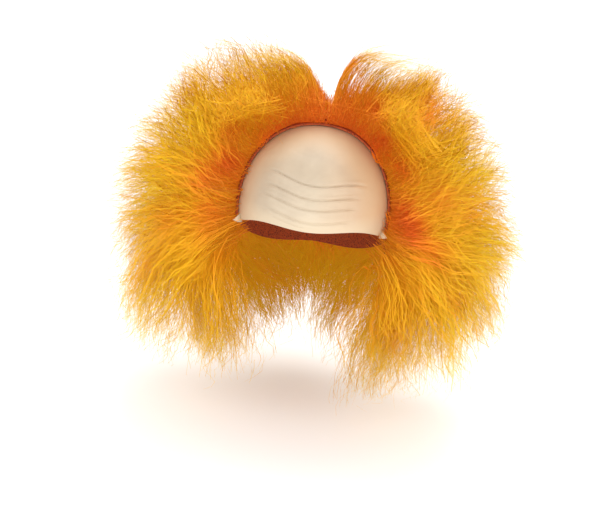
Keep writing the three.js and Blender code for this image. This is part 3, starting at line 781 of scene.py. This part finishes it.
def ramp_of(tree, value, stops):
    node = tree.nodes.new("ShaderNodeValToRGB")
    elements = node.color_ramp.elements
    while len(elements) < len(stops):
        elements.new(0.5)
    for element, (place, colour) in zip(elements, stops):
        element.position = place
        element.color = (*colour, 1)
    tree.links.new(value, node.inputs[0])
    return node.outputs[0]


def noise_of(tree, place, scale, detail, dimensions="3D"):
    node = tree.nodes.new("ShaderNodeTexNoise")
    node.noise_dimensions = dimensions
    node.inputs["Scale"].default_value = scale
    node.inputs["Detail"].default_value = detail
    tree.links.new(place, node.inputs["Vector"])
    return node.outputs[0]


def raise_surface(tree, shader, height, strength, distance, inward=False):
    node = tree.nodes.new("ShaderNodeBump")
    node.inputs["Strength"].default_value = strength
    node.inputs["Distance"].default_value = distance
    node.invert = inward
    tree.links.new(height, node.inputs["Height"])
    tree.links.new(node.outputs[0], shader.inputs["Normal"])


def parts_of(tree, place):
    split = tree.nodes.new("ShaderNodeSeparateXYZ")
    tree.links.new(place, split.inputs[0])
    return split.outputs


# Colours of a strand from root to tip, for the deepest and the brightest strands (the deep end also
# serves as painted shade, the bright end as painted light), and a painted glow that is strongest at the
# roots, where the hair shades itself most
DEEP_HAIR = [(0.0, (0.70, 0.085, 0.012)), (0.12, (0.75, 0.145, 0.010)), (0.35, (0.79, 0.24, 0.008)),
             (0.8, (0.83, 0.35, 0.010))]
BRIGHT_HAIR = [(0.0, (0.83, 0.18, 0.016)), (0.1, (0.85, 0.37, 0.011)), (0.25, (0.87, 0.53, 0.010)),
               (0.5, (0.88, 0.64, 0.012)), (0.85, (0.90, 0.68, 0.05))]
PAINTED_GLOW = [(0.0, (1, 1, 1)), (0.35, (0.45, 0.45, 0.45))]
PAINTED_GLOW_STRENGTH = 0.42
STREAK_SCALE = (120, 7, 1)
STREAK_CONTRAST, STREAK_RELIEF = 0.7, 3.0
CRIMP_SHADE = 0.14
CRIMP_STARTS = 900.0
STRAND_RELIEF = (0.35, 0.0006)


def hair_finish():
    material, tree, shader = new_material("crimped_hair", 0.5)
    uv = tree.nodes.new("ShaderNodeUVMap")
    uv.uv_map = "OFBake"
    tone, reach, _ = parts_of(tree, uv.outputs[0])
    lay = tree.nodes.new("ShaderNodeMapping")
    lay.inputs["Scale"].default_value = STREAK_SCALE
    tree.links.new(uv.outputs[0], lay.inputs[0])
    streaks = noise_of(tree, lay.outputs[0], 1, 2, "2D")
    level = sum_of(tree, "ADD", tone, -STREAK_CONTRAST / 2)
    share = held_between(tree, sum_of(tree, "MULTIPLY_ADD", streaks, STREAK_CONTRAST, level), 0.0, 1.0)
    deep, bright = ramp_of(tree, reach, DEEP_HAIR), ramp_of(tree, reach, BRIGHT_HAIR)
    colour = blend_of(tree, "MIX", share, deep, bright)
    # Painted light and shade: the crimp darkens and lightens the strand's colour in turn, as glints
    # along each wave
    start = sum_of(tree, "MULTIPLY", tone, CRIMP_STARTS)
    beat = sum_of(tree, "MULTIPLY_ADD", reach, COLOUR_LENGTH * 2 * math.pi / CRIMP_PITCH, start)
    crimp = sum_of(tree, "SINE", beat)
    shade = sum_of(tree, "MULTIPLY_ADD", crimp, CRIMP_SHADE, 1 - CRIMP_SHADE)
    colour = blend_of(tree, "MULTIPLY", 1.0, colour, shade)
    tree.links.new(colour, shader.inputs["Base Color"])
    # Painted light: a weak glow of its own colour stands for the light that passes through the fine
    # fibres, strongest at the roots to lift their shade
    painted_glow = blend_of(tree, "MULTIPLY", 1.0, colour, ramp_of(tree, reach, PAINTED_GLOW))
    tree.links.new(painted_glow, shader.inputs["Emission Color"])
    shader.inputs["Emission Strength"].default_value = PAINTED_GLOW_STRENGTH
    relief = sum_of(tree, "MULTIPLY_ADD", streaks, STREAK_RELIEF, crimp)
    raise_surface(tree, shader, relief, *STRAND_RELIEF)
    shader.inputs["Specular IOR Level"].default_value = 0.15
    return material


LATEX_CLOUDS = [(0.32, (0.375, 0.30, 0.215)), (0.68, (0.475, 0.39, 0.285))]
# Painted shade on the right side of the latex, and painted light as a golden glow at its rim
PAINTED_SIDE_SHADE = (0.46, 0.265, 0.13)
PAINTED_RIM_GLOW = (0.61, 0.42, 0.235)
PALE_BROW = (0.52, 0.42, 0.29)
MOST_TINT = 0.6
LATEX_MIDDLE = (-0.005, -0.085, -0.055)
CLOUD_NOISE, PORE_NOISE = (22, 5), (900, 3)
PORE_RELIEF = (0.3, 0.0004)


def latex_finish():
    material, tree, shader = new_material("moulded_latex", 0.5)
    place = tree.nodes.new("ShaderNodeTexCoord").outputs["Object"]
    across, _, height = parts_of(tree, place)
    far = tree.nodes.new("ShaderNodeVectorMath")
    far.operation = "DISTANCE"
    far.inputs[1].default_value = LATEX_MIDDLE
    tree.links.new(place, far.inputs[0])
    colour = ramp_of(tree, noise_of(tree, place, *CLOUD_NOISE), LATEX_CLOUDS)
    # Broad tints, by slope and start: painted shade to one side, darker and warmer away from the key
    # light; painted light towards the rim, a golden glow against the shade the hair casts there; paler
    # at the brow
    for value, slope, start, tint in ((across, 12.0, -0.02, PAINTED_SIDE_SHADE),
                                      (far.outputs["Value"], 20.0, -1.0, PAINTED_RIM_GLOW),
                                      (height, -45.0, -2.85, PALE_BROW)):
        share = held_between(tree, sum_of(tree, "MULTIPLY_ADD", value, slope, start), 0.0, MOST_TINT)
        colour = blend_of(tree, "MIX", share, colour, tint)
    tree.links.new(colour, shader.inputs["Base Color"])
    raise_surface(tree, shader, noise_of(tree, place, *PORE_NOISE), *PORE_RELIEF)
    return material


KNIT_COLOURS = [(0.05, (0.42, 0.07, 0.012)), (0.3, (0.14, 0.025, 0.008))]
KNIT_SCALE = 420
KNIT_RELIEF = (0.6, 0.0006)


def net_finish():
    material, tree, shader = new_material("wig_net", 0.85)
    weave = tree.nodes.new("ShaderNodeTexVoronoi")
    weave.feature = "DISTANCE_TO_EDGE"
    weave.inputs["Scale"].default_value = KNIT_SCALE
    place = tree.nodes.new("ShaderNodeTexCoord").outputs["Object"]
    tree.links.new(place, weave.inputs["Vector"])
    thread = weave.outputs["Distance"]
    tree.links.new(ramp_of(tree, thread, KNIT_COLOURS), shader.inputs["Base Color"])
    raise_surface(tree, shader, thread, *KNIT_RELIEF, inward=True)
    return material


MIRROR = np.array([-1, 1, 1])
CROWN_BACK = np.array([0, 59.9, -40.0])
CAP_OVERLAP = 6
# The lower edge of the latex: its middle, half its width, and how it curves back and drops at the sides
BROW_MIDDLE = np.array([0, -98, -80.0])
BROW_HALF = 68
BROW_SWING = 62
BROW_BACK = (0.00859, 4.34e-7)
BROW_DROP = (0.00211, -1.064e-6)
BROW_FADE = 0.45
CENTRE_LENGTH = 140
# Wrinkles across the forehead: height up the centre line, how much it waves, depth, from side to side
WRINKLES = [(0.078, 0.8, 0.7, -52, 46), (0.166, 0.85, 0.8, -58, 50), (0.242, 1.0, 1.0, -52, 50),
            (0.336, 1.1, 1.1, -50, 56), (0.205, 0.9, 0.35, -56, -6), (0.272, 0.9, 0.25, 4, 46),
            (0.302, 1.0, 0.25, 10, 50), (0.035, 0.7, 0.3, -44, 10)]
WRINKLE_GAIN = 1.35
WRINKLE_FADE = 16
# A wrinkle and the two soft folds beside it: depth, middle and half-width
GROOVE = ((1, 0, 0.9), (-0.75, -3.2, 2.6), (-0.35, 2.6, 1.8))
# How a row up the sides meets the centre line, and how the wrinkles wave across
ROW_SIDE = [0, 0.1, 0.2, 0.3, 0.40, 0.56, 0.7, 0.85, 1]
ROW_MIDDLE = [0, 0.045, 0.12, 0.24, 0.34, 0.5, 0.66, 0.83, 1]
WAVE_ACROSS = [-70, -55, -40, -28, -12, 0, 15, 30, 42, 55, 70]
WAVE_HEIGHT = [0.8, 1.4, 1.6, 0.2, -2.2, -2.8, -2.6, -2.0, -3.0, -6, -7]
# Columns and rows of the sheet, with more of the rows where the wrinkles lie
SHEET_GRID = (92, 150)
SHEET_ROWS = ([0, 0.74, 1], [0, 0.5, 0.992])
# The temple tab: the ends of its root, its tip from the lower end, how far it curls and stands off,
# and its wall
TAB_LOW = np.array([64.5, -55.0, -91.5])
TAB_HIGH = np.array([67.5, -50.0, -84.0])
TAB_TIP = np.array([9.0, -1.0, 2.5])
TAB_CURL = 3.2
TAB_RISE = 0.6
TAB_WALL = 0.9
TAB_GRID = (14, 10)
SHARP_LATEX = 55


def hairline_at(share):
    """A point under the cap's edge: 0 at the temple, 1 in the middle of the crown."""
    line = HAIRLINE_POINTS[::-1]
    length = np.concatenate([[0], np.cumsum(np.linalg.norm(np.diff(line, axis=0), axis=1))])
    spot = np.stack([np.interp(share * length[-1], length, line[:, i]) for i in range(3)], -1)
    return spot + unit(CROWN_BACK - spot) * CAP_OVERLAP


def even_arc(left, middle, right, share):
    s = share[..., None]
    control = 2 * middle - (left + right) / 2
    return left * (1 - s) ** 2 + control * 2 * s * (1 - s) + right * s ** 2


def sheet_rays(share, rise, up):
    """Rays to the moulded sheet: share runs across, rise up its sides and up its centre line."""
    right = ray_to(hairline_at(rise))
    temple, crown = (ray_to(hairline_at(np.array([end]))[0]) for end in (0.0, 1.0))
    brow = ray_to(BROW_MIDDLE)
    whole = math.acos(float(brow @ crown))
    turn = (up * whole)[..., None]
    middle = (brow * np.sin(whole - turn) + crown * np.sin(turn)) / math.sin(whole)
    # The lower edge keeps to the brow
    swing = np.radians((2 * share - 1) * BROW_SWING)
    x = BROW_HALF * np.sin(swing) / math.sin(math.radians(BROW_SWING))
    back, drop = (square * x ** 2 + fourth * x ** 4 for square, fourth in (BROW_BACK, BROW_DROP))
    edge = BROW_MIDDLE + np.stack([x, back, drop], -1)
    low = even_arc(temple * MIRROR, brow, temple, share)
    fade = np.clip(1 - rise / BROW_FADE, 0, 1) ** 2 * (1 - (2 * share - 1) ** 8)
    ray = unit(even_arc(right * MIRROR, middle, right, share))
    return ray + (ray_to(edge) - unit(low)) * fade[..., None]


def wrinkle_depth(points, up):
    """How far the wrinkles, and a crease and a dimple higher up, sink into the sheet."""
    x, z = points[..., 0], points[..., 2]
    wave = np.interp(x, WAVE_ACROSS, WAVE_HEIGHT)
    sink = np.zeros_like(x)
    for height, waviness, depth, start, stop in WRINKLES:
        near = (up - height) * CENTRE_LENGTH - waviness * wave
        fade = grown(x - start, WRINKLE_FADE) * grown(stop - x, WRINKLE_FADE)
        fade = fade * fade * (3 - 2 * fade)
        groove = sum(deep * np.exp(-((near - middle) / half) ** 2) for deep, middle, half in GROOVE)
        sink += WRINKLE_GAIN * fade * depth * groove
    crease = (x + 22) * 0.12 + (z + 12.5)
    sink += 0.45 * np.exp(-(crease / 1.1) ** 2) * np.exp(-((x + 22) / 12) ** 2)
    sink += 0.5 * np.exp(-((x - 2) ** 2 + (z + 24) ** 2) / 60)
    return sink


def corners_of(obj):
    flat = np.empty(len(obj.data.vertices) * 3)
    obj.data.vertices.foreach_get("co", flat)
    return flat.reshape(-1, 3)


def set_corners(obj, points):
    obj.data.vertices.foreach_set("co", (points * MM).ravel())
    obj.data.update()


def new_grid(columns, rows):
    """A grid, and the share across and up it of each corner."""
    bpy.ops.mesh.primitive_grid_add(x_subdivisions=columns, y_subdivisions=rows, size=1)
    grid = bpy.context.object
    across, up = (corners_of(grid)[:, :2] + 0.5).T
    return grid, across, up


def thicken(obj, wall, side):
    thick = obj.modifiers.new("wall", "SOLIDIFY")
    thick.thickness = wall * MM
    thick.offset = side
    bpy.context.view_layer.objects.active = obj
    bpy.ops.object.modifier_apply(modifier=thick.name)


def face_outward(weld=0.0):
    """Turns the faces of the active object outwards, after it joins corners that lie within weld."""
    bpy.ops.object.mode_set(mode="EDIT")
    bpy.ops.mesh.select_all(action="SELECT")
    if weld:
        bpy.ops.mesh.remove_doubles(threshold=weld)
    bpy.ops.mesh.normals_make_consistent(inside=False)
    bpy.ops.object.mode_set(mode="OBJECT")


def join_parts(whole, others, material, sharp):
    """Makes the parts one mesh in one material, smooth where it bends less than the sharp angle."""
    bpy.ops.object.select_all(action="DESELECT")
    for part in (*others, whole):
        part.select_set(True)
    bpy.context.view_layer.objects.active = whole
    bpy.ops.object.join()
    bpy.ops.object.shade_smooth_by_angle(angle=math.radians(sharp))
    whole.data.materials.clear()
    whole.data.materials.append(material)


def mould_forehead(material):
    sheet, share, rise = new_grid(*SHEET_GRID)
    sheet.name = "latex_forehead"
    rise = np.interp(rise, *SHEET_ROWS)
    up = np.interp(rise, ROW_SIDE, ROW_MIDDLE)
    points = on_head_along(sheet_rays(share, rise, up), LATEX_WALL)
    set_corners(sheet, points - ray_to(points) * wrinkle_depth(points, up)[..., None])
    thicken(sheet, LATEX_WALL, -1)
    join_parts(sheet, [temple_tab(sign) for sign in (-1, 1)], material, SHARP_LATEX)
    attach(sheet, "root")
    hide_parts("forehead")


def temple_tab(sign):
    """A small pointed flap at the temple that curls out over the hair."""
    flap, out, up = new_grid(*TAB_GRID)
    low, high = on_head(TAB_LOW, TAB_RISE), on_head(TAB_HIGH, TAB_RISE)
    base = low + (high - low) * up[:, None]
    points = base + (low + TAB_TIP - base) * (out ** 1.15)[:, None]
    points[:, 1] -= TAB_CURL * np.sin(np.pi * np.minimum(out * 0.8, 1))
    points[:, 0] *= sign
    set_corners(flap, points)
    thicken(flap, TAB_WALL, 0)
    if sign < 0:
        face_outward()
    return flap


# Half of the cap's lower rim, from the temple past the ear to the nape
LOWER_RIM = np.array([(74, -46, -108), (77, -36, -122), (80, -20, -122), (82, 0, -110), (80, 24, -116),
                      (70, 55, -140), (45, 80, -156), (0, 96, -160)], float)
# The net and its hem: from and to a share of the way to the rim, columns and rows, outside and wall
NET = (0, 1, 120, 34, CAP_OUTSIDE, CAP_WALL)
HEM = (0.955, 1.004, 160, 4, CAP_OUTSIDE + 0.35, 0.4)
WELD = 0.00002
SHARP_NET = 50


def rim_at(share):
    """A point on the cap's rim, all the way round from the middle of the hairline."""
    half = np.concatenate([HAIRLINE_POINTS, LOWER_RIM])
    knots = np.concatenate([half, (half * MIRROR)[-2:0:-1]])
    place = share * len(knots)
    first = np.floor(place).astype(int)
    t = (place - first)[:, None]
    a, b, c, d = (knots[(first + i) % len(knots)] for i in (-1, 0, 1, 2))
    return b + t * ((c - a) + t * (2 * a - 5 * b + 4 * c - d + t * (3 * (b - c) + d - a))) / 2


def cap_wall(name, low, high, columns, rows, offset, wall):
    """Part of the cap's wall, between two shares of the way from the back of the crown to the rim."""
    sheet, around, along = new_grid(columns, rows)
    sheet.name = name
    along = (low + (high - low) * along)[:, None]
    start, end = ray_to(CROWN_BACK), ray_to(rim_at(around % 1))
    angle = np.arccos((start * end).sum(-1, keepdims=True))
    ray = (start * np.sin((1 - along) * angle) + end * np.sin(along * angle)) / np.sin(angle)
    set_corners(sheet, on_head_along(ray, offset))
    face_outward(WELD)
    thicken(sheet, wall, -1)
    return sheet


def stretch_cap(material):
    net, hem = cap_wall("wig_cap", *NET), cap_wall("cap_hem", *HEM)
    join_parts(net, [hem], material, SHARP_NET)
    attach(net, "root")
    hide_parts("cap")


# The room, in metres: the lamps' places, sizes, powers and colours, and the camera's
FLOOR_HEIGHT = -0.335
FLOOR_SIZE = 80
LAMP_AIM = Vector((0, 0, -0.1))
LAMPS = [
    ("key_left", (-1.7, -2.2, 1.4), 2.4, 42, (1, 0.98, 0.95)),
    ("fill_right", (2.2, -1.8, 0.8), 2.4, 38, (1, 0.99, 0.98)),
    ("front_low", (0.1, -2.4, -0.15), 2.0, 16, (1, 0.99, 0.97)),
    ("over_head", (0.2, 0.9, 2.2), 1.8, 30, (1, 1, 1)),
]
CAMERA_EYE = Vector((0.0464, -1.6903, 0.5081))
CAMERA_AIM = Vector((-0.0093, -0.0107, -0.1369))
CAMERA_ROLL = 6.05
CAMERA_LENS = 102.96
CAMERA_SENSOR = 36


def lay_floor():
    bpy.ops.mesh.primitive_plane_add(size=FLOOR_SIZE, location=(0, 0, FLOOR_HEIGHT))
    floor = bpy.context.object
    floor.name = "floor"
    material, _, shader = new_material("pale_floor", 0.9)
    shader.inputs["Base Color"].default_value = (0.96, 0.96, 0.955, 1)
    floor.data.materials.append(material)


def light_room():
    for name, place, size, power, colour in LAMPS:
        lamp = bpy.data.lights.new(name, "AREA")
        lamp.shape = "DISK"
        lamp.size = size
        lamp.energy = power
        lamp.color = colour
        holder = bpy.data.objects.new(name, lamp)
        holder.location = place
        holder.rotation_euler = (LAMP_AIM - Vector(place)).to_track_quat("-Z", "Y").to_euler()
        put_in_scene(holder)
    world = bpy.data.worlds.new("pale_room")
    bpy.context.scene.world = world
    world.use_nodes = True
    backdrop = world.node_tree.nodes["Background"]
    backdrop.inputs[0].default_value = (1, 1, 1, 1)
    backdrop.inputs[1].default_value = 1.0


def place_camera():
    roll = math.radians(CAMERA_ROLL)
    ahead = (CAMERA_AIM - CAMERA_EYE).normalized()
    level_right = ahead.cross(Vector((0, 0, 1))).normalized()
    level_up = level_right.cross(ahead)
    right = level_right * math.cos(roll) + level_up * math.sin(roll)
    up = level_up * math.cos(roll) - level_right * math.sin(roll)
    view = bpy.data.cameras.new("camera")
    view.lens = CAMERA_LENS
    view.sensor_width = CAMERA_SENSOR
    camera = bpy.data.objects.new("camera", view)
    turn = Matrix((right, up, -ahead)).transposed().to_4x4()
    camera.matrix_world = Matrix.Translation(CAMERA_EYE) @ turn
    put_in_scene(camera)
    bpy.context.scene.camera = camera


bpy.ops.object.select_all(action="DESELECT")
bpy.context.scene.view_settings.view_transform = "Standard"
place_camera()
light_room()
lay_floor()
mould_forehead(latex_finish())
stretch_cap(net_finish())
grow_hair(hair_finish())
